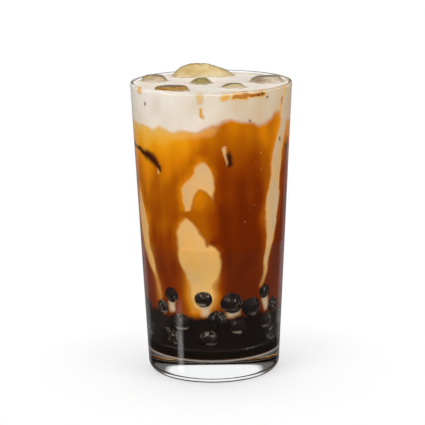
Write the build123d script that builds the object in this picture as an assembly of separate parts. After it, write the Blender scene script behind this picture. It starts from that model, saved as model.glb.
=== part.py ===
from build123d import *
import math
import os
import random

# A tall glass of iced bubble tea: brown tea over a heap of tapioca pearls, a layer of milk
# that has sunk a little way into the tea, and six ice cubes that break the surface.
# Millimetres, +Z up. The origin is the middle of the foot, on the table.
# Bearings are in degrees about +Z, with 0 at the front (-Y) and 90 at the right (+X).

# The tumbler, of pressed glass
glass_height = 154.0
rim_radius = 42.0
foot_radius = 34.5        # outer wall carried straight down to the table
heel_round = 5.4          # outer corner at the foot
base_thickness = 11.5
rim_wall = 1.9
foot_wall = 3.0           # wall where it meets the floor
floor_round = 3.5         # inner corner at the floor
rim_round = 0.8
foot_ring = 4.0           # flat ring that the glass stands on
foot_hollow = 0.8         # how far the underside is raised inside that ring

# The drink
drink_gap = 1.3           # from the rim down to the drink
milk_depth = 17.0         # mean depth of the milk at the wall
milk_sag = 5.0            # how much deeper the milk lies in the middle
wave_step = 6.0           # spacing of the points that carry the wavy underside of the milk

# Where the milk hangs lower (below 0) or the tea stands higher: bearing, width, height
milk_waves = [
    (-62.0, 26.0, -1.5),
    (-22.0, 22.0, -2.6),
    (14.0, 12.0, 4.6),
    (57.0, 9.0, 5.0),
    (95.0, 25.0, -3.0),
    (150.0, 20.0, 3.5),
    (205.0, 30.0, -2.5),
    (250.0, 18.0, 3.0),
]

# The pearls
pearl_diameter = 9.5
pearl_spread = 0.07       # share by which the diameters differ
pearl_gap = 0.6           # least drink left between two pearls that stand side by side
pearl_film = 0.25         # drink left between a pearl and the glass
heap_depth = 21.0         # the packed part of the heap, above the floor
heap_roughness = 2.0      # how unevenly the pearls in the middle of the heap lie
pearl_root = 3.0          # how far the posts of the pearls go down into the packed part
first_bearing = -9.5      # of the pearls at the wall

# How far the middle of each pearl at the wall stands above the packed part, going round
wall_rises = [14.5, 12.5, 8.0, 14.0, 1.0, 9.5, 2.5, 12.5, 6.0, 1.0, 11.0, 3.0, 13.5, 5.0, 7.5, 13.5]

# The ice cubes: name, bearing, distance out, length and width (these three as shares of the
# drink's radius, in which the cubes pack), turn about Z, tilt, rise above the drink
ice_thickness = 15.0
ice_melt = 1.14           # size of the round that a cube melts to, as a share of the cube
ice_wall_gap = 0.8        # kept clear between ice and glass
ice_cubes = [
    ("ice_back", 187.0, 0.78, 0.84, 0.46, 3.0, 6.0, 6.6),
    ("ice_left", 246.0, 0.80, 0.50, 0.38, -14.0, 7.0, 3.0),
    ("ice_front", 318.0, 0.74, 0.54, 0.38, 10.0, -7.0, 2.2),
    ("ice_middle", 253.0, 0.13, 0.34, 0.32, 30.0, 9.0, 2.6),
    ("ice_front_right", 41.0, 0.43, 0.48, 0.32, 8.0, -6.0, 1.8),
    ("ice_right", 100.0, 0.72, 0.50, 0.40, 18.0, 7.0, 3.0),
]

drink_top = glass_height - drink_gap
heap_top = base_thickness + heap_depth
chance = random.Random(11)


def outer_radius(height):
    """Outer radius of the straight wall."""
    return foot_radius + (rim_radius - foot_radius) * height / glass_height


def inner_radius(height):
    """Inner radius of the straight wall, which thins evenly towards the rim."""
    share = (height - base_thickness) / (glass_height - base_thickness)
    return outer_radius(height) - foot_wall + (foot_wall - rim_wall) * share


drink_radius = inner_radius(drink_top)


def place(bearing, radius, height):
    """A point by its bearing, distance from the axis and height."""
    angle = math.radians(bearing)
    return Vector(radius * math.sin(angle), -radius * math.cos(angle), height)


def turned(points, rounds):
    """A solid turned about Z from a closed outline, with some corners of it rounded."""
    outline = make_face(Polyline(points, close=True))
    for corner, radius in rounds:
        nearest = outline.vertices().sort_by_distance(corner)[0]
        outline = fillet(nearest, radius)
    return revolve(Plane.XZ * outline, Axis.Z)


def inside(low, high, gap=0.0):
    """The inside of the glass between two heights, up to the wall or a gap short of it."""
    over = glass_height + 2 * ice_thickness
    cavity = turned(
        [
            (0, base_thickness),
            (inner_radius(base_thickness) - gap, base_thickness),
            (inner_radius(over) - gap, over),
            (0, over),
        ],
        [((inner_radius(base_thickness) - gap, base_thickness), floor_round)],
    )
    slab = Pos(0, 0, (low + high) / 2) * Cylinder(2 * rim_radius, high - low)
    return cavity & slab


def make_glass():
    """The tumbler, with its rounded heel, thick base, hollowed underside and fire-polished rim."""
    ring_outside = foot_radius - heel_round
    blank = turned(
        [
            (0, foot_hollow),
            (ring_outside - foot_ring - foot_hollow, foot_hollow),
            (ring_outside - foot_ring, 0),
            (foot_radius, 0),
            (rim_radius, glass_height),
            (0, glass_height),
        ],
        [((foot_radius, 0), heel_round)],
    )
    shell = blank - inside(base_thickness, glass_height + rim_wall)
    rim_edges = shell.edges().group_by(Axis.Z)[-1]
    return fillet(rim_edges, rim_round)


def milk_bottom(x, y):
    """Height of the underside of the milk: waves at the wall that fade towards the middle."""
    bearing = math.degrees(math.atan2(x, -y))
    reach = min(math.hypot(x, y) / drink_radius, 1.2)
    height = drink_top - milk_depth - milk_sag * max(0.0, 1 - reach ** 2)
    for middle, width, rise in milk_waves:
        away = (bearing - middle + 180) % 360 - 180
        height += rise * reach ** 2 * math.exp(-((away / width) ** 2))
    return height


def make_milk_space():
    """Everything above the wavy underside of the milk."""
    half = math.ceil(1.15 * drink_radius / wave_step)
    steps = [wave_step * i for i in range(-half, half + 1)]
    points = [[Vector(x, y, milk_bottom(x, y)) for y in steps] for x in steps]
    underside = Face.make_surface_from_array_of_points(points)
    return extrude(underside, amount=2 * milk_depth + milk_sag, dir=(0, 0, 1))


def pearl_ring(out, rises):
    """Pearls side by side on a ring: each is a round head on a post that goes down into the
    packed part, because what lies below a pearl is more of the heap."""
    largest = pearl_diameter * (1 + pearl_spread) + pearl_gap
    count = max(1, math.floor(math.pi / math.asin(min(1.0, largest / (2 * out)))))
    posts = []
    for i in range(count):
        radius = pearl_diameter / 2 * chance.uniform(1 - pearl_spread, 1 + pearl_spread)
        spot = place(first_bearing + 360 * i / count, out, heap_top - pearl_root)
        posts.append(Pos(spot) * round_post(radius, pearl_root + rises[i % len(rises)]))
    return posts


def round_post(radius, height):
    """An upright post whose round head is centred at its height."""
    side = Line((radius, 0), (radius, height))
    head = CenterArc((0, height), radius, 0, 90)
    outline = make_face([side, head, Line(head @ 1, (0, 0)), Line((0, 0), (radius, 0))])
    return revolve(Plane.XZ * outline, Axis.Z)


def make_pearl_heap():
    """The heap as one solid: the packed part, and ring on ring of pearls out of its top."""
    pitch = pearl_diameter * (1 + pearl_spread) + pearl_gap
    out = inner_radius(heap_top - pearl_root) - pearl_film - pearl_diameter / 2 * (1 + pearl_spread)
    posts = pearl_ring(out, wall_rises)
    while out - pitch > pitch / 2:
        out -= pitch
        posts += pearl_ring(out, [chance.uniform(-1, 1) * heap_roughness for _ in wall_rises])
    return inside(base_thickness, heap_top) + posts


def make_ice(bearing, reach, length, width, turn, tilt, rise):
    """One melted cube, tilted, with its highest point at its rise above the drink."""
    size = Vector(length * drink_radius, width * drink_radius, ice_thickness)
    melted = scale(Sphere(ice_melt / 2), by=(size.X, size.Y, size.Z))
    block = Rot(tilt, tilt / 2, turn) * (Box(size.X, size.Y, size.Z) & melted)
    spot = place(bearing, reach * drink_radius, 0)
    lift = drink_top + rise - block.bounding_box().max.Z
    return (Pos(spot.X, spot.Y, lift) * block) & ice_space


glass = make_glass()
drink_space = inside(base_thickness, drink_top)
ice_space = inside(base_thickness, glass_height + ice_thickness, ice_wall_gap)
milk_space = make_milk_space()
pearl_heap = make_pearl_heap()
ice = {name: make_ice(*sizes) for name, *sizes in ice_cubes}
tea = drink_space - milk_space - pearl_heap
milk = (drink_space & milk_space) - list(ice.values())

nodes = {"glass": glass, "pearl_heap": pearl_heap, "tea": tea, "milk": milk, **ice}
os.makedirs("parts", exist_ok=True)
for name, shape in nodes.items():
    export_step(shape, f"parts/{name}.step")
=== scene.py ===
import math
import random

import bpy
import numpy as np
from mathutils import Matrix, Vector


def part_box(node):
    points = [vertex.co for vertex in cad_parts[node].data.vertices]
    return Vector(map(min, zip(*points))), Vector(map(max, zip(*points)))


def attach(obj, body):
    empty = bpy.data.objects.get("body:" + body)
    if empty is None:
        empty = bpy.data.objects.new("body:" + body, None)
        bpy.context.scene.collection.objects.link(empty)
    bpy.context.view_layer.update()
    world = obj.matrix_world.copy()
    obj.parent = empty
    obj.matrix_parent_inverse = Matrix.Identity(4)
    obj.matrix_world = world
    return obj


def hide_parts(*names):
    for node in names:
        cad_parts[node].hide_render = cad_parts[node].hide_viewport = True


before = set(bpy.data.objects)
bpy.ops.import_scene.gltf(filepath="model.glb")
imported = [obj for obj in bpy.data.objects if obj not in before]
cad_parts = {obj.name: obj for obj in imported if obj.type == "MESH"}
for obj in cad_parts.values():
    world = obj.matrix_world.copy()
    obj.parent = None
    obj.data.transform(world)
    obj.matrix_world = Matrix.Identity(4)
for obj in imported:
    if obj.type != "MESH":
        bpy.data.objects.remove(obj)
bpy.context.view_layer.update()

# ---------------------------------------------------------------------------------------------
# The glass: a tall tumbler of clear pressed glass with a thick base. Its rim and heel are
# fire-polished round, and its underside is hollowed a little, so that it stands on a ring.
# It is drawn as half an outline and spun about its axis.

# Sizes are in metres, and bearings are in degrees round the glass: 0 in front, 90 at the right
mm = 0.001
glass_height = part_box("glass")[1].z
floor_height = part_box("pearl_heap")[0].z
rim_radius = 42 * mm
foot_radius = 34.5 * mm
rim_wall = 1.9 * mm
foot_wall = 3 * mm
floor_round = 3.5 * mm
heel_round = 5.4 * mm
rim_round = 0.8 * mm
foot_ring = 4 * mm
foot_hollow = 0.8 * mm
wall_slope = (rim_radius - foot_radius) / glass_height
lining_slope = wall_slope + (foot_wall - rim_wall) / (glass_height - floor_height)
lining_foot = foot_radius + wall_slope * floor_height - foot_wall
glass_turns = 192
wall_rows = 12
corner_gap = 1.5 * mm      # from the end of a round corner to the next point of the outline
rim_gap = 1 * mm           # and from the round rim


def outer_radius(height):
    """Outer radius of the straight wall."""
    return foot_radius + wall_slope * height


def inner_radius(height):
    """Inner radius of the straight wall, which thins evenly towards the rim."""
    return lining_foot + lining_slope * (height - floor_height)


def bend(middle, radius, first, last, steps=8):
    """Points along an arc, as (out, up), from one angle in degrees to another."""
    turns = np.radians(np.linspace(first, last, steps + 1))
    return [(middle[0] + radius * math.cos(a), middle[1] + radius * math.sin(a)) for a in turns]


def corner(start, slope, low, radius, grow=0.0):
    """The round corner between a level floor and a wall that leans outwards from start."""
    out = start + slope * radius - radius * math.hypot(1, slope)
    lean = math.degrees(math.atan(slope))
    return bend((out, low + radius), radius + grow, -90, -lean)


def spin(name, outline, turns):
    """A closed piece turned about the upright axis from an outline of (out, up) points."""
    bpy.ops.object.select_all(action="DESELECT")
    bpy.ops.mesh.primitive_plane_add(size=mm, location=(0, 0, 0))
    piece = bpy.context.object
    piece.name = piece.data.name = name
    bpy.ops.object.mode_set(mode="EDIT")
    bpy.ops.mesh.merge(type="CENTER")
    bpy.ops.transform.translate(value=(outline[0][0], 0, outline[0][1]))
    for (out, up), (next_out, next_up) in zip(outline, outline[1:]):
        step = (next_out - out, 0, next_up - up)
        bpy.ops.mesh.extrude_region_move(TRANSFORM_OT_translate={"value": step})
    bpy.ops.mesh.select_all(action="SELECT")
    bpy.ops.mesh.spin(steps=turns, angle=2 * math.pi, center=(0, 0, 0), axis=(0, 0, 1))
    bpy.ops.mesh.select_all(action="SELECT")
    bpy.ops.mesh.remove_doubles(threshold=0.01 * mm)
    bpy.ops.mesh.normals_make_consistent(inside=False)
    bpy.ops.object.mode_set(mode="OBJECT")
    bpy.ops.object.shade_smooth()
    return piece


def colour(red, green, blue):
    """A colour as a screen shows it, 0 to 255, as the amounts of light it stands for."""
    shares = [part / 255 for part in (red, green, blue)]
    return tuple(s / 12.92 if s <= 0.04045 else ((s + 0.055) / 1.055) ** 2.4 for s in shares) + (1,)


def clear_nodes(owner):
    """Empties a material or world, and returns the function that adds a node to it."""
    owner.use_nodes = True
    tree = owner.node_tree
    tree.nodes.clear()

    def add(kind, inputs=None, **settings):
        """A node with its inputs set, each to a value or to another node's output."""
        node = tree.nodes.new("ShaderNode" + kind)
        for setting, value in settings.items():
            setattr(node, setting, value)
        for socket, value in (inputs or {}).items():
            if isinstance(value, bpy.types.NodeSocket):
                tree.links.new(value, node.inputs[socket])
            else:
                node.inputs[socket].default_value = value
        return node

    return add


def new_material(name):
    """An empty material, and the function that adds a node to it."""
    material = bpy.data.materials.new(name)
    return material, clear_nodes(material)


def clear_material(name, tint, ior, gloss):
    """A clear solid that refracts, and that lamps shine through without a dark shadow."""
    material, add = new_material(name)
    body = add(
        "BsdfPrincipled",
        {
            "Base Color": tint,
            "Roughness": 0.0,
            "IOR": ior,
            "Transmission Weight": 1.0,
            "Specular IOR Level": gloss,
        },
    )
    through = add("BsdfTransparent")
    path = add("LightPath")
    both = add("MixShader", {0: path.outputs["Is Shadow Ray"], 1: body.outputs[0], 2: through.outputs[0]})
    add("OutputMaterial", {"Surface": both.outputs[0]})
    return material


def keep(piece, material, slot, *nodes):
    """Gives a finished piece its material and its body, and hides the CAD nodes it stands for. The slot is
    not used.
    """
    piece.data.materials.clear()
    piece.data.materials.append(material)
    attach(piece, "root")
    if nodes:
        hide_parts(*nodes)


heel = corner(foot_radius, wall_slope, 0, heel_round)
ring_outside = heel[0][0]
ring_inside = ring_outside - foot_ring
lining_corner = corner(lining_foot, lining_slope, floor_height, floor_round)
wall_top = glass_height - rim_round
wall_heights = np.linspace(heel[-1][1] + corner_gap, wall_top - rim_gap, wall_rows)
lining_heights = np.linspace(wall_top - rim_gap, lining_corner[-1][1] + corner_gap, wall_rows)
rim_outside = (outer_radius(wall_top) - rim_round, wall_top)
rim_inside = (inner_radius(wall_top) + rim_round, wall_top)

glass = spin(
    "glass_tumbler",
    [
        (0, foot_hollow),
        (ring_inside - 3 * foot_hollow, foot_hollow),
        (ring_inside - foot_hollow, foot_hollow),
        (ring_inside, 0),
        *heel,
        *[(outer_radius(h), h) for h in wall_heights],
        *bend(rim_outside, rim_round, 0, 90),
        *bend(rim_inside, rim_round, 90, 180),
        *[(inner_radius(h), h) for h in lining_heights],
        *lining_corner[::-1],
        (lining_corner[0][0] - corner_gap, floor_height),
        (0, floor_height),
    ],
    glass_turns,
)
clear_glass = clear_material("clear_pressed_glass", colour(252, 253, 253), ior=1.5, gloss=0.25)
keep(glass, clear_glass, "clear_glass", "glass")

# ---------------------------------------------------------------------------------------------
# The pearls: balls of cooked tapioca, black brown and glossy, which have sunk into a heap on
# the floor of the glass. Those at the top stand at the wall, some of them half hidden in the
# cloudy tea. Each is a slightly uneven ball. What fills the middle of the heap can't be seen.
pearl_diameter = 9.5 * mm
pearl_spread = 0.05        # how far pearls differ in size, as a share
cloudy_gap = 3.4 * mm      # how far behind the glass the tea turns cloudy round the pearls
pearl_film = 0.25 * mm     # tea left between a pearl and the glass
pearl_spacing = 8.6 * mm   # nearest that the middles of two pearls come
widest_seen = 0.92         # a pearl is made so large that this share of its width may show
most_seen = 0.93           # the most of its width that shows out of the cloudy tea
luck = random.Random(5)

# Pearls that stand out of the heap: bearing, height in mm, width that shows in mm
standing_pearls = [
    (-81.7, 36.4, 7.5),
    (-54.0, 39.1, 7.4),
    (-41.8, 46.3, 8.2),
    (-9.4, 45.6, 8.6),
    (17.3, 43.2, 12.2),
    (38.0, 39.8, 11.6),
    (53.8, 46.8, 7.4),
    (67.5, 37.9, 7.8),
]
around_back = range(108, 275, 24)
standing_pearls += [
    (bearing + luck.uniform(-6, 6), luck.uniform(37, 47), luck.uniform(6.5, 9))
    for bearing in around_back
]
buried_pearls = [(-32.2, 32.3, 10.2), (3.2, 34.6, 9.6), (23.8, 30.2, 9.6), (84.0, 29.5, 9.0)]

# The rows under them: height in mm and first bearing of each, and the step from pearl to pearl
heap_rows = [(31, 4), (24, 13)]
row_step = 18
row_seen = 8.8 * mm


def ease(value, start, end):
    """0 up to a start, 1 from an end on, and a smooth rise between."""
    share = np.clip((value - start) / (end - start), 0, 1)
    return share * share * (3 - 2 * share)


def bell(value, middle, width):
    """1 at a middle value, falling off softly to either side over a width."""
    return np.exp(-(((value - middle) / width) ** 2))


def unevenness(points, size, seed):
    """Smooth seeded waves of about one size, mostly between -1 and 1, at each point."""
    draw = np.random.default_rng(seed)
    waves = 14
    total = np.zeros(len(points))
    for _ in range(waves):
        way = draw.normal(size=3)
        length = size * draw.uniform(0.6, 1.6)
        total += np.sin(points @ way * (2 * np.pi / length / np.linalg.norm(way)) + draw.uniform(0, 6.3))
    return total / math.sqrt(waves)


def points_of(piece):
    """The places of a piece's points, one row each."""
    places = np.empty(len(piece.data.vertices) * 3)
    piece.data.vertices.foreach_get("co", places)
    return places.reshape(-1, 3)


def move_points(piece, places):
    """Puts a piece's points at new places."""
    piece.data.vertices.foreach_set("co", places.ravel())
    piece.data.update()


def put_value(piece, name, values):
    """Stores a number for each point of a piece, for its material to read."""
    layer = piece.data.attributes.new(name, "FLOAT", "POINT")
    layer.data.foreach_set("value", values.astype(np.float32))


def pearl_middle(bearing, height, seen, radius):
    """Where the middle of a pearl lies so that a given width of it shows at the wall."""
    half = min(seen / 2, most_seen * radius)
    sunk_in = inner_radius(height) - cloudy_gap - math.sqrt(radius ** 2 - half ** 2)
    out = min(sunk_in, inner_radius(height) - pearl_film - radius)
    angle = math.radians(bearing)
    return np.array([out * math.sin(angle), -out * math.cos(angle), height])


def make_pearl(middle, radius, seed):
    """One pearl, pressed a little out of round, with a pale crescent under it at the wall, partly caught
    milk and partly a painted highlight.
    """
    bpy.ops.object.select_all(action="DESELECT")
    bpy.ops.mesh.primitive_ico_sphere_add(subdivisions=4, radius=1, location=(0, 0, 0))
    pearl = bpy.context.object
    places = points_of(pearl)
    dents = 0.035 * unevenness(places, 1.7, seed) + 0.012 * unevenness(places, 0.6, seed + 1)
    squeeze = np.array([luck.uniform(0.95, 1.04), luck.uniform(0.95, 1.04), luck.uniform(0.93, 1.02)])
    outwards = places[:, :2] @ middle[:2] / np.hypot(*middle[:2])
    # A pale crescent low on the pearl's outer side: partly milk caught under it, partly a painted highlight
    # of light from below.
    low_crescent = bell(places[:, 2], -0.62, 0.13) * ease(outwards, 0, 0.5)
    blotch = ease(unevenness(places, 1.3, seed + 900), -0.5, 0.5)
    put_value(pearl, "milk_and_glint", low_crescent * blotch * max(0, luck.uniform(-0.1, 1.2)))
    move_points(pearl, places * squeeze * (1 + dents)[:, None] * radius + middle)
    bpy.ops.object.shade_smooth()
    return pearl


def join(name, pieces):
    """Joins pieces into one under a name."""
    bpy.ops.object.select_all(action="DESELECT")
    for piece in pieces:
        piece.select_set(True)
    bpy.context.view_layer.objects.active = pieces[0]
    bpy.ops.object.join()
    pieces[0].name = pieces[0].data.name = name
    return pieces[0]


def ramp(add, factor, stops):
    """A run of colours along a number, each stop a share and a colour."""
    node = add("ValToRGB", {"Fac": factor})
    bar = node.color_ramp
    while len(bar.elements) < len(stops):
        bar.elements.new(1.0)
    for element, (share, tone) in zip(bar.elements, stops):
        element.position = share
        element.color = tone
    return node.outputs["Color"]


def product(add, one, other):
    """Two numbers of a material multiplied."""
    return add("Math", {0: one, 1: other}, operation="MULTIPLY").outputs[0]


spots = []
for bearing, height, seen in standing_pearls + buried_pearls:
    radius = max(pearl_diameter, seen * mm / widest_seen) / 2 * luck.uniform(1 - pearl_spread, 1)
    spots.append((pearl_middle(bearing, height * mm, seen * mm, radius), radius))
for row_middle, first in heap_rows:
    for bearing in range(first, first + 360, row_step):
        radius = pearl_diameter / 2 * luck.uniform(1 - pearl_spread, 1 + pearl_spread)
        height = (row_middle + luck.uniform(-1.5, 1.5)) * mm
        middle = pearl_middle(bearing + luck.uniform(-2, 2), height, row_seen, radius)
        if min(np.linalg.norm(middle - other) for other, _ in spots) > pearl_spacing:
            spots.append((middle, radius))
pearls = join("pearls", [make_pearl(*spot, 40 + 2 * i) for i, spot in enumerate(spots)])

pearl_skin, add = new_material("tapioca_skin")
place = add("TexCoord").outputs["Object"]
mottle = add("TexNoise", {"Vector": place, "Scale": 320, "Detail": 3}).outputs["Fac"]
skin = ramp(add, mottle, [(0.3, colour(20, 15, 17)), (0.6, colour(30, 20, 16)), (0.8, colour(46, 27, 16))])
pores = add("TexNoise", {"Vector": place, "Scale": 1500, "Detail": 2}).outputs["Fac"]
relief = add("Bump", {"Height": pores, "Strength": 0.15, "Distance": 0.1 * mm})
# Pale specks, and the crescent under the pearl, in a pale colour: partly milk that clings to the skin,
# partly painted highlights.
patches = add("TexNoise", {"Vector": place, "Scale": 130}).outputs["Fac"]
grains = add("TexNoise", {"Vector": place, "Scale": 900, "Detail": 2}).outputs["Fac"]
patches = add("MapRange", {"Value": patches, "From Min": 0.5, "From Max": 0.62}).outputs[0]
grains = add("MapRange", {"Value": grains, "From Min": 0.52, "From Max": 0.64, "To Max": 0.45}).outputs[0]
milk_and_glint_specks = product(add, patches, grains)
milk_and_glint = add("Attribute", attribute_name="milk_and_glint").outputs["Fac"]
milk_and_glint = add("Math", {0: milk_and_glint, 1: milk_and_glint_specks}, operation="MAXIMUM").outputs[0]
skin = add("Mix", {"Factor": milk_and_glint, 6: skin, 7: colour(180, 166, 148)}, data_type="RGBA").outputs[2]
body = add(
    "BsdfPrincipled",
    {
        "Base Color": skin,
        "Roughness": 0.2,
        "Specular IOR Level": 0.4,
        "Normal": relief.outputs[0],
    },
)
add("OutputMaterial", {"Surface": body.outputs[0]})
keep(pearls, pearl_skin, "pearl", "pearl_heap")

# ---------------------------------------------------------------------------------------------
# The tea: brown and cloudy, darkest at the bottom and amber under the milk, which has sunk into
# it in pale streams. It is spun as one solid that reaches a hair into the wall, and what shows
# at each point is painted on it. At the pearls a solid of clear tea lies in front of it.
drink_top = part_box("milk")[1].z
drink_radius = inner_radius(drink_top)
milk_depth = 17 * mm
milk_sag = 5 * mm
tea_top = drink_top - milk_depth
wall_grip = 0.2 * mm
wave_reach = 14 * mm       # how far below the milk the rows of points start to follow its line
drink_turns = 360
row_height = 0.8 * mm
cloudy_low = (17.5 * mm, 20.5 * mm)    # between which heights clear tea comes in at the wall
cloudy_high = (50 * mm, 74 * mm)       # and goes again
film_end = 73.4            # in mm, up to where the drink shows through the clear tea
film_loss = 0.05           # how much darker it looks there, which its colour makes up for

# Bearing, width and height of each place where the milk hangs lower or the tea stands higher
milk_waves = [
    (-62, 26, -1.5 * mm),
    (-22, 22, -2.6 * mm),
    (14, 12, 4.6 * mm),
    (57, 9, 5.0 * mm),
    (95, 25, -3.0 * mm),
    (150, 20, 3.5 * mm),
    (205, 30, -2.5 * mm),
    (250, 18, 3.0 * mm),
]

# The streams of milk, from the top down: height in millimetres, left and right bearing
milk_streams = {
    "middle": [
        (118.6, -8.5, -6.5),
        (116.5, -11.5, -3.6),
        (113, -14.2, -0.3),
        (108, -19, 1.3),
        (104, -23.2, 1.6),
        (99, -24.5, 0.6),
        (95, -23.5, -2),
        (91, -21.5, -8),
        (88, -21.5, -10),
        (85.5, -25.8, -9),
        (79.5, -29.7, -5),
        (75, -30.3, -1),
        (71.4, -30.5, 6.5),
        (66, -30, 7.3),
        (59, -25.8, 5.5),
        (52, -23, 2.2),
        (47, -24, 3),
        (43, -22, 1),
        (39, -19, -3),
    ],
    "right": [
        (142, 61, 78),
        (136, 59.4, 72),
        (128, 55.4, 69),
        (118.5, 53, 65),
        (107.5, 48.7, 63.5),
        (96, 46, 63.4),
        (84, 47.4, 61.7),
        (78, 48, 57.6),
        (66.5, 47.4, 54.5),
        (57, 49, 53.3),
        (50, 46, 48.5),
    ],
    "left": [
        (99.5, -75, -73),
        (97, -76.5, -71.3),
        (88.5, -79, -65.2),
        (77.5, -76.5, -61.2),
        (62, -69.1, -58.6),
        (54, -62.6, -57.1),
        (46.5, -58.5, -54.5),
        (42, -56.5, -55.3),
    ],
    "side": [(126, 89, 92), (110, 88, 95), (92, 89, 97), (78, 91, 94)],
    "back_right": [(140, 116, 130), (112, 112, 134), (90, 116, 131), (66, 121, 128), (50, 123, 125)],
    "back": [(111, 160, 164), (100, 152, 172), (82, 150, 176), (60, 157, 170), (40, 160, 166)],
    "back_left": [(140, 203, 216), (110, 203, 222), (88, 207, 219), (56, 210, 214)],
    "far_left": [(112, 252, 256), (98, 246, 264), (76, 248, 262), (48, 252, 256)],
}

# The amber window of tea in the middle stream, in the same way
tea_window = [
    (104.5, -10, -7),
    (99, -15.8, 1),
    (93, -17.6, 4),
    (91.2, -24, 4),
    (90, -26, 5),
    (88.8, -20, 6),
    (84, -13, 6),
    (81, -11, 5),
    (77, -7, 1),
    (74, -5, -3),
]

# Where the tea is thinned to amber: bearing, height in mm, half width and half height, amount
amber_washes = [
    (-20, 46, 14, 16, 0.4),
    (-8, 39, 19, 8, 0.32),
    (4, 50, 7, 13, 0.3),
    (-60, 44, 5, 12, 0.25),
    (45, 90, 7, 30, 0.2),
    (-62, 112, 14, 12, 0.1),
    (165, 50, 16, 14, 0.4),
]

# Streaks and specks of syrup: the points they run through (bearing, height in mm) and width in mm
syrup_streaks = [
    ([(-84, 124), (-74, 122), (-60, 120)], 2.2),
    ([(-66, 121), (-56, 119.4)], 3.4),
    ([(-57, 119.4), (-52, 118.4), (-47.5, 116.8)], 5.4),
    ([(-48, 117), (-44, 114.4)], 3.2),
    ([(-44, 114.6), (-43, 112.4)], 1.6),
    ([(13.4, 121.5), (13.8, 117.4)], 3.0),
    ([(73, 123), (77, 104), (80, 84)], 2.2),
    ([(77, 126), (79, 121)], 2.0),
    ([(-54.3, 146.2), (-54.3, 145.6)], 1.1),
    ([(43.5, 149), (43.5, 148.5)], 0.9),
    ([(28.8, 138.6), (28.8, 137.6)], 0.9),
    ([(60.6, 127.6), (61.4, 126.2)], 1.2),
    ([(35.8, 151.5), (36.6, 151.1)], 0.8),
    ([(39.6, 151.8), (40.2, 151.2)], 0.8),
    ([(61.4, 146.4), (61, 145.4)], 0.9),
    ([(170, 120), (178, 113), (181, 108)], 2.2),
    ([(128, 146), (129, 145)], 1.0),
]

# Brown stains on the milk at the wall: the same, and how deep their colour is, up to 2
milk_stains = [
    ([(-8.6, 152.4), (-8.4, 150.4)], 3.8, 0.75),
    ([(-7.6, 146), (-7, 143.4), (-6, 141.6)], 1.5, 1.5),
    ([(7, 150.3), (11, 151.1)], 2.2, 1.25),
    ([(16, 150.8), (21, 150.2), (25, 150.6)], 2.8, 1.7),
    ([(22, 151.8), (32, 151.9), (41, 151.2)], 2.4, 1.8),
    ([(30, 151.9), (40, 151.5)], 1.8, 2.0),
    ([(64.6, 152.4), (64.2, 149.4)], 3.2, 0.9),
    ([(-63, 152.6), (-62.6, 151.4)], 2.8, 1.2),
    ([(61.8, 147), (61.3, 144.3)], 1.7, 1.8),
    ([(60.3, 143.5), (58.6, 138.5)], 2.2, 1.2),
    ([(140, 151), (152, 150)], 2.6, 1.1),
    ([(232, 152), (231, 148)], 2.4, 0.9),
]

# Flecks of milk in the tea: the points they run through and width
milk_flecks = [
    ([(9.4, 124.4), (10.8, 121), (11.4, 118.4)], 1.7),
    ([(-44.6, 112.6), (-46, 111.2)], 1.6),
]

# How softly the drink's parts fade into each other, in mm
stream_fade = 2.4          # a stream's sides, high up
low_stream_fade = 5.4      # and down by the pearls
low_streams = (64, 50)     # between which heights the one turns into the other
stream_glow = 5.5          # how far the tea beside a stream is paler
edge_fade = (-2, 2.6)      # milk over tea, measured up from the line where they meet
mist_fade = (-6.5, -0.5)   # the thin milk under it, at the left
murk_fade = (37.5, 34)     # the dark between the pearls, from the top down
# The pale patches under the pearls are partly milk and partly painted light.
pale_patch_fade = (34.5, 37.5)   # the pale drops under the pearls, from the bottom up
wall_band = 2.5 * mm       # how near the wall a stain on the milk's top ends
streak_fade = 0.294        # a streak's edges, as a share of its width
stream_radius = 36         # the radius at which bearings are turned into lengths
streak_radius = 37         # and that for streaks, which lie higher


def round_from(bearing, middle):
    """Bearings as they lie to the left (-180) or right (180) of a middle one."""
    return (bearing - middle + 180) % 360 - 180


def round_glass(places):
    """The bearing, distance from the axis and height of each point."""
    bearing = np.degrees(np.arctan2(places[:, 0], -places[:, 1]))
    return bearing, np.hypot(places[:, 0], places[:, 1]), places[:, 2]


def milk_edge(bearing):
    """Height at which milk and tea meet at the wall."""
    height = tea_top
    for middle, width, lift in milk_waves:
        height = height + lift * bell(round_from(bearing, middle), 0, width)
    return height


def follow_waves(places, still, moved):
    """Lifts points with the line between milk and tea, none at one height and all at another,
    and keeps them at the sloping wall."""
    bearing, out, height = round_glass(places)
    follow = ease(height, still, moved) * ease(out, drink_radius / 2, drink_radius)
    lift = (milk_edge(bearing) - tea_top) * follow
    wider = 1 + lining_slope * lift / np.maximum(out, mm)
    return np.column_stack([places[:, 0] * wider, places[:, 1] * wider, height + lift])


def depth_in_band(bearing, height, rows):
    """How deep in a stream each point lies, in millimetres: below 0 is outside it."""
    heights, lefts, rights = (np.array(part, float) for part in zip(*rows[::-1]))
    middle = (lefts.mean() + rights.mean()) / 2
    across = round_from(bearing, middle) + middle
    from_left = np.radians(across - np.interp(height, heights, lefts)) * stream_radius
    from_right = np.radians(np.interp(height, heights, rights) - across) * stream_radius
    ends = np.minimum(height - heights[0], heights[-1] - height)
    return np.minimum(np.minimum(from_left, from_right), ends)


def near_streak(bearing, height, path, width):
    """1 on a streak through some points, falling softly to 0 at its edges."""
    soft = streak_fade * width
    nearest = np.full(len(bearing), 1e3)
    for (b0, h0), (b1, h1) in zip(path, path[1:]):
        along = np.radians(round_from(bearing, b0)) * streak_radius
        up = height - h0
        run = np.array([math.radians(b1 - b0) * streak_radius, h1 - h0])
        share = np.clip((along * run[0] + up * run[1]) / (run @ run), 0, 1)
        nearest = np.minimum(nearest, np.hypot(along - share * run[0], up - share * run[1]))
    return ease(nearest, width / 2 + soft, width / 2 - soft)


def mix(start, end, share):
    """A value that goes from a start to an end by a share."""
    return start + (end - start) * share


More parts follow.
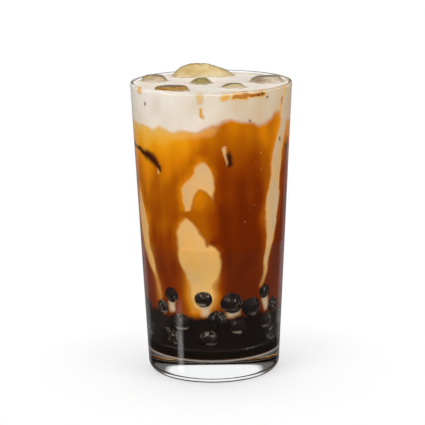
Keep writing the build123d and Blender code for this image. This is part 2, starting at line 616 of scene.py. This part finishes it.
def stream_shares(bearing, height):
    """How much milk the streams show, how near a stream lies, and how far into the tea window."""
    milk = np.zeros(len(bearing))
    glow = np.zeros(len(bearing))
    fade = mix(stream_fade, low_stream_fade, ease(height, *low_streams))
    for rows in milk_streams.values():
        depth = depth_in_band(bearing, height, rows)
        milk = np.maximum(milk, ease(depth, -0.42 * fade, 0.58 * fade))
        glow = np.maximum(glow, ease(depth, -stream_glow, 1))
    window = depth_in_band(bearing, height, tea_window)
    in_window = ease(window, -1.2, 2)
    milk = milk * (1 - in_window)
    for path, width in milk_flecks:
        milk = np.maximum(milk, 0.85 * near_streak(bearing, height, path, width))
    return milk, glow * (1 - ease(window, -5, 1)), in_window


def milk_over_tea(bearing, over_tea):
    """The share of milk above the line where it meets the tea, and in the mist that hangs under
    it at the left and the front."""
    mist = 0.32 + 0.22 * bell(bearing, -9, 13)
    at_left = ease(bearing, 14, -2) * ease(bearing, -130, -100)
    return np.maximum(ease(over_tea, *edge_fade), mist * ease(over_tea, *mist_fade) * at_left)


def tea_strength(places, bearing, level, glow):
    """How dark the tea is, 0 to 1: amber under the milk, and darker down and to the right."""
    heights = [40, 51, 60, 73, 86, 98, 112, 120, 128, 133]
    left = np.interp(level, heights, [0.96, 0.83, 0.75, 0.63, 0.49, 0.43, 0.35, 0.2, 0.1, 0.04])
    right = np.interp(level, heights, [1, 1, 0.96, 0.92, 0.88, 0.8, 0.67, 0.55, 0.42, 0.36])
    turned = np.abs(round_from(bearing, -75))
    strength = mix(left, right, ease(turned, 42, 86) * ease(turned, 178, 138))
    strength = strength - 0.2 * glow * ease(strength, 0, 0.5)
    for wash_bearing, wash_height, half_width, half_height, amount in amber_washes:
        across = bell(round_from(bearing, wash_bearing), 0, half_width)
        strength = strength - amount * across * bell(level, wash_height, half_height)
    return strength + 0.05 * ease(strength, 0, 0.4) * unevenness(places * [1, 1, 0.35], 8 * mm, 5)


def milk_stain(places, bearing, height, over_tea, on_top):
    """How far the milk is turned towards tea brown, 0 to 1: least at the left, more to the right, most in
    the low streams.
    """
    stain = 0.03 + 0.42 * ease(bearing, -35, 50) * ease(bearing, 200, 140)
    in_tea = np.interp(height, [70, 95, 112, 130], [0.97, 0.85, 0.7, 0.5])
    in_tea = in_tea - 0.3 * bell(bearing, 57, 13) * ease(height, 112, 92)
    stain = mix(stain, in_tea, ease(over_tea, 1.4, -1.6))
    stain = stain + 0.07 * unevenness(places * [1, 1, 0.5], 7 * mm, 6)
    return mix(stain, 0.05 + 0.05 * unevenness(places, 16 * mm, 8), on_top)


def paint_drink(piece, tea_line=0.0):
    """Works out what shows at each point of the drink, for its material: the share of milk, into which
    painted light is also put, its stain, the tea's strength, syrup, murk, and whether clear tea lies in
    front. tea_line is the tea that has gathered on the milk at each point, as round the ice."""
    places = points_of(piece)
    bearing, out, level = round_glass(places)
    level = level / mm
    bearing = bearing + 0.9 * unevenness(places, 11 * mm, 1) + 0.3 * unevenness(places, 5 * mm, 2)
    height = level + 0.7 * unevenness(places, 9 * mm, 3) + 0.2 * unevenness(places, 4 * mm, 4)
    over_tea = height - milk_edge(bearing) / mm - 0.7 * unevenness(places, 9 * mm, 9)
    at_wall = ease(out, drink_radius - wall_band, drink_radius)
    on_top = ease(level - drink_top / mm, -1.2, -0.4) * (1 - at_wall)

    # The share of milk, and the tea's strength, which is its own in the window
    milk, glow, in_window = stream_shares(bearing, height)
    milk = np.maximum(milk, milk_over_tea(bearing, over_tea))
    strength = tea_strength(places, bearing, level, glow)
    window_strength = 0.43 + 0.2 * ease(bearing, -9, 4) - 0.15 * ease(height, 90, 99)
    strength = mix(strength, window_strength, in_window)

    # Stains: where milk thins out into tea, where tea sticks to the wall, and round the ice
    stain = milk_stain(places, bearing, height, over_tea, on_top)
    stain = stain + 1.6 * milk * (1 - milk) * ease(over_tea, 1, -2)
    for path, width, amount in milk_stains:
        stain = np.maximum(stain, amount * near_streak(bearing, height, path, width) * at_wall)
    stain = stain + 0.35 * tea_line

    syrup = np.zeros(len(places))
    for path, width in syrup_streaks:
        syrup = np.maximum(syrup, near_streak(bearing, height, path, width))
    syrup = syrup * (1 - on_top)

    # It is dark between the pearls, and under each that stands out hangs a pale patch, partly a drop of
    # milk and partly painted light
    murk = ease(height - 1.2 * unevenness(places, 12 * mm, 7), *murk_fade)
    murk = np.maximum(murk, 0.5 * tea_line * ease(unevenness(places, 5 * mm, 10), -0.5, 0.5))
    for pearl_bearing, pearl_height, seen in standing_pearls:
        under = pearl_height - 3
        patch_path = [(pearl_bearing, under), (pearl_bearing + 1.5, under - 0.6 * seen)]
        milk_and_light_patch = near_streak(bearing, height, patch_path, 0.66 * seen) * ease(height, *pale_patch_fade)
        milk = np.maximum(milk, 0.8 * milk_and_light_patch)
        stain = mix(stain, 0.45, milk_and_light_patch)
        murk = murk * (1 - milk_and_light_patch)

    # Painted light, put in with the milk: a pale line just over the floor, where the thick base gathers
    # light, and a pale underside
    above_floor = level - floor_height / mm
    caught_light = bell(above_floor, 1.0, 0.62)
    underside = ease(above_floor, 0.9, 0.5)
    lit = np.maximum(caught_light, underside)
    # The share of milk also carries painted light: the pale line at the floor and the patches under the
    # pearls.
    put_value(piece, "milk", np.maximum(milk, lit))
    put_value(piece, "stain", np.clip(stain * (1 - lit), 0, 2) / 2)
    put_value(piece, "strength", strength)
    put_value(piece, "syrup", syrup)
    put_value(piece, "murk", murk * (1 - caught_light) * (1 - 0.025 * underside))
    put_value(piece, "behind_film", ease(level, film_end + 0.75, film_end - 0.75))


def drink_material(name, gloss):
    """Tea and milk seen through the wall, from the numbers painted on the piece."""
    material, add = new_material(name)
    place = add("TexCoord").outputs["Object"]
    painted = {
        key: add("Attribute", attribute_name=key).outputs["Fac"]
        for key in ("milk", "stain", "strength", "syrup", "murk", "behind_film")
    }
    drawn_out = add("Mapping", {"Vector": place, "Scale": (1, 1, 0.3)}).outputs["Vector"]
    swirl = add("TexNoise", {"Vector": drawn_out, "Scale": 260, "Detail": 4}).outputs["Fac"]
    cloud = add("TexNoise", {"Vector": place, "Scale": 900, "Detail": 3}).outputs["Fac"]

    def shifted(value, noise, amount):
        """A number made uneven by a noise, by up to half the amount either way."""
        offset = add("Math", {0: noise, 1: amount, 2: -amount / 2}, operation="MULTIPLY_ADD")
        return add("Math", {0: value, 1: offset.outputs[0]}, operation="ADD").outputs[0]

    tea = ramp(
        add,
        shifted(painted["strength"], swirl, 0.05),
        [
            (0.04, colour(240, 190, 76)),
            (0.13, colour(238, 164, 16)),
            (0.25, colour(224, 136, 4)),
            (0.4, colour(184, 101, 0)),
            (0.6, colour(152, 64, 0)),
            (0.8, colour(126, 45, 0)),
            (1.0, colour(104, 35, 0)),
        ],
    )
    milk = ramp(
        add,
        shifted(painted["stain"], swirl, 0.07),
        [
            (0.0, colour(241, 232, 221)),
            (0.175, colour(222, 205, 180)),
            (0.3, colour(219, 188, 144)),
            (0.5, colour(246, 194, 110)),
            (0.75, colour(208, 142, 60)),
            (1.0, colour(165, 95, 20)),
        ],
    )
    share = shifted(painted["milk"], cloud, 0.2)
    share = add("MapRange", {"Value": share, "From Min": 0.1, "From Max": 0.9}).outputs[0]
    drink = add("Mix", {"Factor": share, 6: tea, 7: milk}, data_type="RGBA").outputs[2]
    sweet = add("Mix", {"Factor": painted["syrup"], 6: drink, 7: colour(66, 28, 10)}, data_type="RGBA")
    murky = {"Factor": painted["murk"], 6: sweet.outputs[2], 7: colour(24, 16, 12)}
    dim = add("Mix", murky, data_type="RGBA")
    gain = add("Math", {0: painted["behind_film"], 1: film_loss, 2: 1}, operation="MULTIPLY_ADD").outputs[0]
    shown = add("VectorMath", {0: dim.outputs[2], "Scale": gain}, operation="SCALE").outputs[0]
    body = add("BsdfPrincipled", {"Base Color": shown, "Roughness": 0.35, "Specular IOR Level": gloss})
    add("OutputMaterial", {"Surface": body.outputs[0]})
    return material


def tea_radius(height):
    """Outer radius of the cloudy tea, a hair into the wall but for the gap at the pearls."""
    gap = float(ease(height, *cloudy_low) * ease(height, *cloudy_high[::-1]))
    return inner_radius(height) + wall_grip - gap * (cloudy_gap + wall_grip)


tea_corner = corner(lining_foot, lining_slope, floor_height, floor_round, wall_grip)
rows = int((tea_top - tea_corner[-1][1]) / row_height)
tea_heights = np.linspace(tea_corner[-1][1] + row_height, tea_top, rows)
tea = spin(
    "brown_tea",
    [
        (0, floor_height - wall_grip),
        *tea_corner,
        *[(tea_radius(h), h) for h in tea_heights],
        (drink_radius - 3 * mm, tea_top + 1 * mm),
        (drink_radius / 2, tea_top - milk_sag / 2),
        (0, tea_top - milk_sag),
    ],
    drink_turns,
)
move_points(tea, follow_waves(points_of(tea), tea_top - wave_reach, tea_top))
paint_drink(tea)
keep(tea, drink_material("cloudy_tea", 0.0), "tea", "tea")

film_low = cloudy_low[0] - 1 * mm
film_high = cloudy_high[1] + 2 * mm
film_grip = wall_grip / 2
film_rows = 16
clear_tea = spin(
    "clear_tea",
    [
        (0, film_low),
        (inner_radius(film_low) - 1 * mm, film_low),
        *[(inner_radius(h) + film_grip, h) for h in np.linspace(film_low, film_high, film_rows)],
        (inner_radius(film_high) - 1 * mm, film_high),
        (0, film_high),
    ],
    glass_turns,
)
keep(clear_tea, clear_material("clear_tea", colour(254, 251, 246), ior=1.33, gloss=0.05), "tea")

# ---------------------------------------------------------------------------------------------
# The ice: six cubes, melted round, wet and cloudy, and tinted by the tea. Each floats in the
# milk and stands out of it by a few millimetres. A cube is bevelled, melted by subdivision,
# roughened by dents and cracks, and fitted to the box of its node.
ice_gap = 0.8 * mm         # kept clear between ice and glass
wash_share = 0.5           # how far up the ice that stands out the milk has washed over it
ice_bevel = 0.3            # of a cube's side
ice_melting = 5            # levels of subdivision
ice_taper = 0.3            # how much narrower the ice gets up to its top, at least flat

# Each cube: turn about the upright, how far its top leans to the right, how flat its top is,
# and its deep and pale tint
ice_cubes = {
    "ice_back": (3, -0.2, 1.0, colour(196, 164, 98), colour(214, 194, 142)),
    "ice_left": (-14, -0.1, 2.4, colour(160, 132, 78), colour(200, 180, 152)),
    "ice_front": (10, 0.05, 3.0, colour(150, 88, 4), colour(172, 138, 66)),
    "ice_middle": (30, 0, 1.6, colour(140, 126, 58), colour(172, 156, 98)),
    "ice_front_right": (8, 0, 2.2, colour(164, 142, 84), colour(204, 190, 152)),
    "ice_right": (18, 0.05, 2.4, colour(146, 124, 96), colour(198, 182, 158)),
}


def make_ice(name, turn, lean, flatness):
    """One melted cube that fills the box of its node and keeps clear of the glass."""
    low, high = (np.array(end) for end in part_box(name))
    bpy.ops.object.select_all(action="DESELECT")
    bpy.ops.mesh.primitive_cube_add(size=1, location=(0, 0, 0))
    cube = bpy.context.object
    cube.name = cube.data.name = name + "_cube"
    bpy.ops.object.mode_set(mode="EDIT")
    bpy.ops.mesh.bevel(offset=ice_bevel, segments=1)
    bpy.ops.mesh.select_all(action="SELECT")
    bpy.ops.transform.rotate(value=math.radians(-turn), orient_axis="Z", center_override=(0, 0, 0))
    bpy.ops.object.mode_set(mode="OBJECT")
    melt = cube.modifiers.new("melt", "SUBSURF")
    melt.levels = melt.render_levels = ice_melting
    bpy.ops.object.modifier_apply(modifier="melt")
    places = points_of(cube)
    places[:, 0] += lean * (places[:, 2] - places[:, 2].min())
    size = high - low
    spread = places / np.abs(places).max(0) / 2 * size
    seed = 200 + len(name) * 7 + turn
    dents = 0.4 * unevenness(spread, 11 * mm, seed) + 0.12 * unevenness(spread, 4 * mm, seed + 1)
    cracks = 0.07 * np.abs(unevenness(spread, 1.6 * mm, seed + 2))
    away = spread / np.linalg.norm(spread, axis=1)[:, None]
    spread = spread + away * ((dents + cracks) * mm)[:, None]
    places = low + size * (spread - spread.min(0)) / (spread.max(0) - spread.min(0))

    above = np.clip((places[:, 2] - drink_top) / (high[2] - drink_top), 0, 1)
    as_it_is = np.ones(len(above))
    room = np.minimum(1, (inner_radius(places[:, 2]) - ice_gap) / np.hypot(places[:, 0], places[:, 1]))
    narrow = 1 - ice_taper * above ** 1.3 * (2 - min(flatness, 2))
    middle = np.append(places[:, :2].mean(0), 0)
    places[:, 2] += (1 - (1 - above) ** flatness - above) * (high[2] - drink_top)
    places = (places - middle) * np.column_stack([narrow, narrow, as_it_is]) + middle
    move_points(cube, places * np.column_stack([room, room, as_it_is]))
    bpy.ops.object.shade_smooth()
    return cube


def ice_material(name, deep, pale, washed_to):
    """Cloudy ice: tinted where tea shows through it, with fine cracks and painted shade at its edges, and
    milk washed over it up to some height."""
    material, add = new_material(name)
    place = add("TexCoord").outputs["Object"]
    cloud = add("TexNoise", {"Vector": place, "Scale": 110, "Detail": 3, "Roughness": 0.5}).outputs["Fac"]
    inside = ramp(add, cloud, [(0.35, deep), (0.65, pale)])
    cells = add("TexVoronoi", {"Vector": place, "Scale": 260}, feature="DISTANCE_TO_EDGE")
    crack = ramp(add, cells.outputs["Distance"], [(0.0, (1, 1, 1, 1)), (0.05, (0, 0, 0, 1))])
    cracked = {"Factor": product(add, crack, 0.25), 6: inside, 7: colour(128, 98, 48)}
    lined = add("Mix", cracked, data_type="RGBA").outputs[2]
    # Painted shade: the ice is darker at its edges, where it is seen at a slant, broken up by a fine noise.
    edge = add("LayerWeight", {"Blend": 0.3}).outputs["Facing"]
    edge_shade = add("MapRange", {"Value": edge, "From Min": 0.3, "From Max": 0.65}).outputs[0]
    grain = add("TexNoise", {"Vector": place, "Scale": 800, "Detail": 2}).outputs["Fac"]
    broken = add("MapRange", {"Value": grain, "From Min": 0.4, "From Max": 0.55, "To Min": 0.25}).outputs[0]
    edge_shaded = {"Factor": product(add, edge_shade, broken), 6: lined, 7: colour(88, 66, 34)}
    shaded = add("Mix", edge_shaded, data_type="RGBA").outputs[2]
    level = add("SeparateXYZ", {0: place}).outputs["Z"]
    waterline = {"Value": level, "From Min": drink_top, "From Max": washed_to}
    washed = add("MapRange", {**waterline, "To Min": 0.6, "To Max": 0.0}).outputs[0]
    wet = {"Factor": product(add, washed, cloud), 6: shaded, 7: colour(228, 217, 204)}
    shaded = add("Mix", wet, data_type="RGBA").outputs[2]
    relief = add("Bump", {"Height": cloud, "Strength": 0.3, "Distance": 0.6 * mm})
    body = add(
        "BsdfPrincipled",
        {
            "Base Color": shaded,
            "Roughness": 0.12,
            "IOR": 1.31,
            "Subsurface Weight": 0.25,
            "Subsurface Radius": (1, 0.8, 0.5),
            "Subsurface Scale": 2 * mm,
            "Coat Weight": 0.4,
            "Coat Roughness": 0.03,
            "Normal": relief.outputs[0],
        },
    )
    add("OutputMaterial", {"Surface": body.outputs[0]})
    return material


ice = []
for name, (turn, lean, flatness, deep, pale) in ice_cubes.items():
    cube = make_ice(name, turn, lean, flatness)
    washed_to = drink_top + wash_share * (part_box(name)[1].z - drink_top)
    keep(cube, ice_material("cloudy_" + name, deep, pale, washed_to), "ice", name)
    ice.append(cube)

# ---------------------------------------------------------------------------------------------
# The milk: a layer the colour of cream that floats on the tea, with a wavy underside and tea
# stains at the wall and round the ice. It is spun like the tea and painted the same way. Its
# top is nearly level, and creeps up the glass and the ice a little.
creep = 0.5 * mm
hem = 2 * mm               # the milk's lower edge turns in behind the tea, so no seam shows
milk_skin = 1 * mm         # how far the milk's underside lies under the top of the tea
tea_rim = 0.6 * mm         # width of the line of tea round the ice
milk_rows = 34
top_rings = 46
milk_heights = np.linspace(tea_top - 0.5 * mm, drink_top, milk_rows)
milk = spin(
    "milk_layer",
    [
        (0, tea_top - milk_sag - milk_skin),
        (drink_radius / 2, tea_top - milk_sag / 2 - milk_skin),
        (drink_radius - 3 * mm, tea_top - 2.5 * mm),
        (inner_radius(tea_top - hem) - wall_grip, tea_top - hem),
        *[(inner_radius(h) + 1.2 * wall_grip, h) for h in milk_heights],
        *[(drink_radius * (1 - i / top_rings), drink_top) for i in range(1, top_rings + 1)],
    ],
    drink_turns,
)
places = follow_waves(points_of(milk), drink_top, tea_top)
on_top = places[:, 2] > drink_top - 0.01 * mm
ice_points = np.vstack([points_of(cube) for cube in ice])
shore = ice_points[np.abs(ice_points[:, 2] - drink_top) < 0.5 * mm][::3, :2]
to_ice = np.full(len(places), 1.0)
to_ice[on_top] = [np.hypot(*(shore - spot).T).min() for spot in places[on_top, :2]]
to_wall = drink_radius - np.hypot(places[:, 0], places[:, 1])
swell = 0.12 * mm * (unevenness(places, 14 * mm, 21) + 0.5 * unevenness(places, 4 * mm, 22))
swell += creep * np.exp(-to_ice / mm) + creep * np.exp(-to_wall / mm)
places[:, 2] += np.where(on_top, swell - creep, 0)
move_points(milk, places)
paint_drink(milk, bell(to_ice, 0, tea_rim))
keep(milk, drink_material("cream_milk", 0.2), "milk", "milk")

# ---------------------------------------------------------------------------------------------
# Bubbles: a loose froth of small bubbles that gathers on the milk, along the glass and round
# the ice, and a few that cling to the wall in the tea. Each is a ball of few faces.
bubble_sizes = (0.25 * mm, 0.7 * mm)
clinging_sizes = (0.15 * mm, 0.28 * mm)
wall_bubbles = 90
ice_bubbles = 150
clinging_bubbles = 30
wall_gathers = (0.4, 1.9, 3.4, 5.2)    # angles in radians at which the froth gathers
clinging_at = (35, 150, 260)           # bearings at which bubbles cling to the wall
wall_spots = []
for _ in range(wall_bubbles):
    angle = luck.choice(wall_gathers) + luck.gauss(0, 0.45)
    out = drink_radius - luck.uniform(0.5, 1.6) * mm
    wall_spots.append((out * math.cos(angle), out * math.sin(angle)))
shore_spots = [
    tuple(spot + [luck.gauss(0, 0.6) * mm, luck.gauss(0, 0.6) * mm])
    for spot in luck.sample(list(shore), ice_bubbles)
]
bubble_spots = []
for x, y in wall_spots + shore_spots:
    radius = luck.uniform(*bubble_sizes) * luck.uniform(0.6, 1)
    if math.hypot(x, y) < drink_radius - radius:
        bubble_spots.append((x, y, drink_top - creep + 0.1 * radius, radius))
for _ in range(clinging_bubbles):
    angle = math.radians(luck.choice(clinging_at) + luck.gauss(0, 16))
    height = luck.uniform(80, 136) * mm
    out = inner_radius(height) + 0.3 * wall_grip
    radius = luck.uniform(*clinging_sizes)
    bubble_spots.append((out * math.sin(angle), -out * math.cos(angle), height, radius))
bubbles = []
for *spot, radius in bubble_spots:
    bpy.ops.mesh.primitive_ico_sphere_add(subdivisions=2, radius=radius, location=spot)
    bpy.ops.object.transform_apply(location=True)
    bpy.ops.object.shade_smooth()
    bubbles.append(bpy.context.object)
froth = join("froth", bubbles)
froth_skin, add = new_material("froth_skin")
place = add("TexCoord").outputs["Object"]
tone = add("TexNoise", {"Vector": place, "Scale": 240}).outputs["Fac"]
skin = ramp(add, tone, [(0.35, colour(196, 172, 130)), (0.6, colour(232, 222, 206))])
body = add("BsdfPrincipled", {"Base Color": skin, "Roughness": 0.1, "Coat Weight": 0.5})
add("OutputMaterial", {"Surface": body.outputs[0]})
keep(froth, froth_skin, "milk")

# ---------------------------------------------------------------------------------------------
# The studio: a plain pale floor, a white surround, three soft lamps and a card of light at the
# left, which draws a narrow streak down the glass. None of it is part of the object.
floor_radius = 12
shadow_reach = (0.034, 0.1)    # from where to where the shadow at the foot fades out
lightened_at_foot = 0.45       # share of the shadow that is lightened there
card_glow_strength = 3.6


def not_scattered(add, path):
    """1 for what no matt surface has scattered yet, and 0 after that."""
    return add("Math", {0: path.outputs["Diffuse Depth"], 1: 0.5}, operation="LESS_THAN").outputs[0]


bpy.ops.object.select_all(action="DESELECT")
bpy.ops.mesh.primitive_circle_add(vertices=64, radius=floor_radius, fill_type="NGON", location=(0, 0, 0))
floor = bpy.context.object
floor.name = "floor"
floor_paint, add = new_material("pale_floor")
path = add("LightPath")
seen = product(add, path.outputs["Is Camera Ray"], not_scattered(add, path))
away = add("VectorMath", {0: add("TexCoord").outputs["Object"]}, operation="LENGTH").outputs["Value"]
fade = {"Value": away, "From Min": shadow_reach[0], "From Max": shadow_reach[1]}
fade = add("MapRange", {**fade, "To Min": lightened_at_foot}).outputs["Result"]
lightened = product(add, seen, fade)
matt = add("BsdfDiffuse", {"Color": colour(244, 244, 244)})
white = add("Emission", {"Color": (1, 1, 1, 1), "Strength": 1.0})
both = add("MixShader", {0: lightened, 1: matt.outputs[0], 2: white.outputs[0]})
add("OutputMaterial", {"Surface": both.outputs[0]})
floor.data.materials.append(floor_paint)
floor.visible_glossy = False
floor.visible_transmission = False

# The card stands lower than the floor, which mirrored light passes through
card_size = (0.22, 0.13, 1)
card_place = (-0.686, -0.412, -0.292)
card_turn = -59            # in degrees, so that it faces the glass
bpy.ops.object.select_all(action="DESELECT")
bpy.ops.mesh.primitive_plane_add(size=1, location=(0, 0, 0))
card = bpy.context.object
card.name = "light_card"
card.scale = card_size
card.rotation_euler = (math.radians(90), 0, math.radians(card_turn))
card.location = card_place
card_glow, add = new_material("card_glow")
spot = add("SeparateXYZ", {0: add("TexCoord").outputs["UV"]})
unlit = (0, 0, 0, 1)
lit = (1, 1, 1, 1)
band = ramp(add, spot.outputs["X"], [(0.0, unlit), (0.42, lit), (0.58, lit), (1.0, unlit)])
fade = ramp(add, spot.outputs["Y"], [(0.0, unlit), (0.45, lit), (0.65, lit), (1.0, unlit)])
both = add("Mix", {"Factor": 1.0, 6: band, 7: fade}, data_type="RGBA", blend_type="MULTIPLY").outputs[2]
glow = add("Emission", {"Color": both, "Strength": card_glow_strength})
add("OutputMaterial", {"Surface": glow.outputs[0]})
card.data.materials.append(card_glow)
card.visible_camera = False
card.visible_diffuse = False
card.visible_transmission = False
card.visible_shadow = False

# What lights the object from all round, what it mirrors in front, what shows through its glass
# at the sides, and how much of the white behind it shows in what it mirrors. White and grey
# begin where a ray goes backwards by so much.
soft_white = (0.5, 0.5, 0.5, 1)
dark_room = (0.035, 0.035, 0.035, 1)
side_grey = (0.15, 0.147, 0.135, 1)
mirror_share = 0.2
white_from = (0.74, 0.82)
grey_from = (0.15, 0.45)

world = bpy.data.worlds.new("surround")
bpy.context.scene.world = world
add = clear_nodes(world)
path = add("LightPath")
through_glass = path.outputs["Is Transmission Ray"]
backwards = add("SeparateXYZ", {0: add("TexCoord").outputs["Generated"]}).outputs["Y"]
behind = {"Value": backwards, "From Min": white_from[0], "From Max": white_from[1]}
behind = add("MapRange", behind).outputs[0]
aside = {"Value": backwards, "From Min": grey_from[0], "From Max": grey_from[1]}
aside = add("MapRange", aside).outputs[0]
fresh = not_scattered(add, path)
mirrored = product(add, path.outputs["Is Glossy Ray"], mirror_share)
sharp = add("Math", {0: through_glass, 1: mirrored}, operation="MAXIMUM").outputs[0]
bright = product(add, product(add, sharp, behind), fresh)
white_seen = add("Math", {0: path.outputs["Is Camera Ray"], 1: bright}, operation="MAXIMUM").outputs[0]
room_seen = product(add, add("Math", {0: sharp}, operation="SIGN").outputs[0], fresh)
room = {"Factor": product(add, aside, through_glass), 6: dark_room, 7: side_grey}
room = add("Mix", room, data_type="RGBA").outputs[2]
ambient = add("Mix", {"Factor": room_seen, 6: soft_white, 7: room}, data_type="RGBA").outputs[2]
light = add("Mix", {"Factor": white_seen, 6: ambient, 7: (1, 1, 1, 1)}, data_type="RGBA").outputs[2]
glow = add("Background", {"Color": light, "Strength": 1.0})
add("OutputWorld", {"Surface": glow.outputs[0]})


def soft_lamp(name, bearing, out, height, width, tall, power):
    """A rectangular lamp that faces the drink from a bearing, distance and height."""
    angle = math.radians(bearing)
    spot = Vector((out * math.sin(angle), -out * math.cos(angle), height))
    bpy.ops.object.light_add(type="AREA", location=spot)
    lamp = bpy.context.object
    lamp.name = name
    lamp.data.shape = "RECTANGLE"
    lamp.data.size = width
    lamp.data.size_y = tall
    lamp.data.energy = power
    aim = Vector((0, 0, glass_height / 2)) - spot
    lamp.rotation_euler = aim.to_track_quat("-Z", "Y").to_euler()
    return lamp


soft_lamp("key_lamp", -47, 1.3, 0.95, 0.9, 0.9, 11.5)
soft_lamp("fill_lamp", 60, 1.4, 0.75, 0.9, 0.9, 10.5)
soft_lamp("top_lamp", 180, 0.5, 1.5, 0.9, 0.9, 4.5)

camera_place = (0, -0.95, 0.2906)
camera_tilt = 12.265       # degrees that it looks down
camera_roll = -0.629
bpy.ops.object.camera_add(location=camera_place)
camera = bpy.context.object
camera.data.sensor_width = 36
camera.data.lens = 156.42
aim_down = Matrix.Rotation(math.radians(90 - camera_tilt), 3, "X")
camera.rotation_euler = (aim_down @ Matrix.Rotation(math.radians(camera_roll), 3, "Z")).to_euler()
bpy.context.scene.camera = camera
bpy.context.scene.view_settings.view_transform = "Standard"
